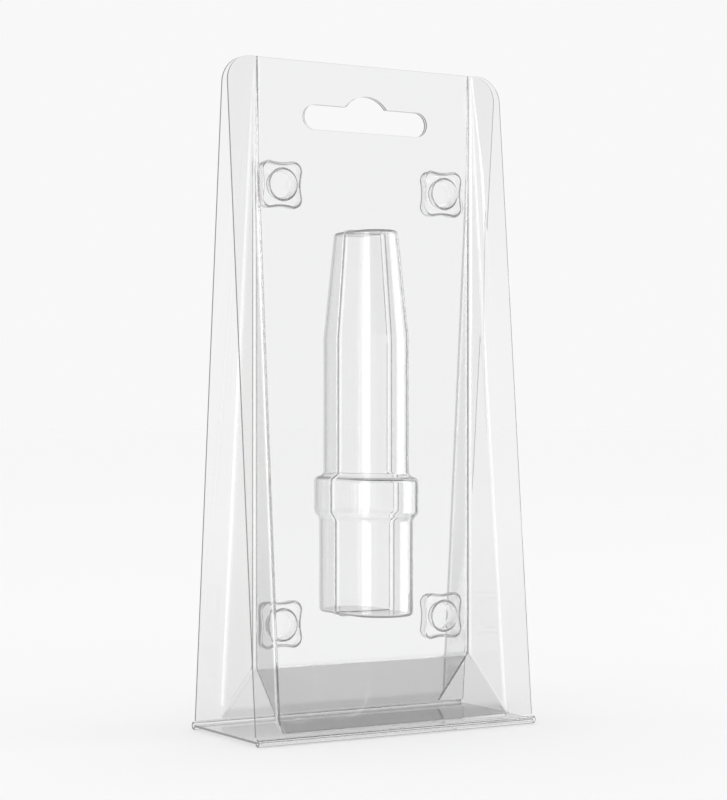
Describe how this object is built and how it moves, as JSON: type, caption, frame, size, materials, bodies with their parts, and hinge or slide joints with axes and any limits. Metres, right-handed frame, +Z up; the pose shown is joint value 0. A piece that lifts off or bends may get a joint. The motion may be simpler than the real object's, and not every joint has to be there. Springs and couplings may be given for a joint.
{
  "type": "clamshell pack",
  "caption": "Clear thermoformed clamshell pack that stands on its foot panel, with hinged halves, snap buttons, a hang slot and a cavity for a slim capped tube.",
  "frame": {"origin": "middle of the underside of the foot, on the surface that the pack stands on", "axes": "+Z up, along the height of the pack; +X across its width; +Y from the front shell to the rear shell"},
  "size_m": [0.0562, 0.0254, 0.1175],
  "materials": {
    "clear_sheet": "clear, high gloss"
  },
  "bodies": {
    "base_panel": {"base_panel": "clear_sheet"},
    "front_shell": {"front_shell": "clear_sheet"},
    "rear_shell": {"rear_shell": "clear_sheet"}
  },
  "joints": [
    {"name": "front_hinge", "type": "hinge", "parent": "base_panel", "child": "front_shell", "pos_m": [0, -0.012, 0.0007], "axis": [1, 0, 0], "range_deg": [0, 90]},
    {"name": "rear_hinge", "type": "hinge", "parent": "base_panel", "child": "rear_shell", "pos_m": [0, 0.012, 0.0007], "axis": [-1, 0, 0], "range_deg": [0, 90]}
  ]
}
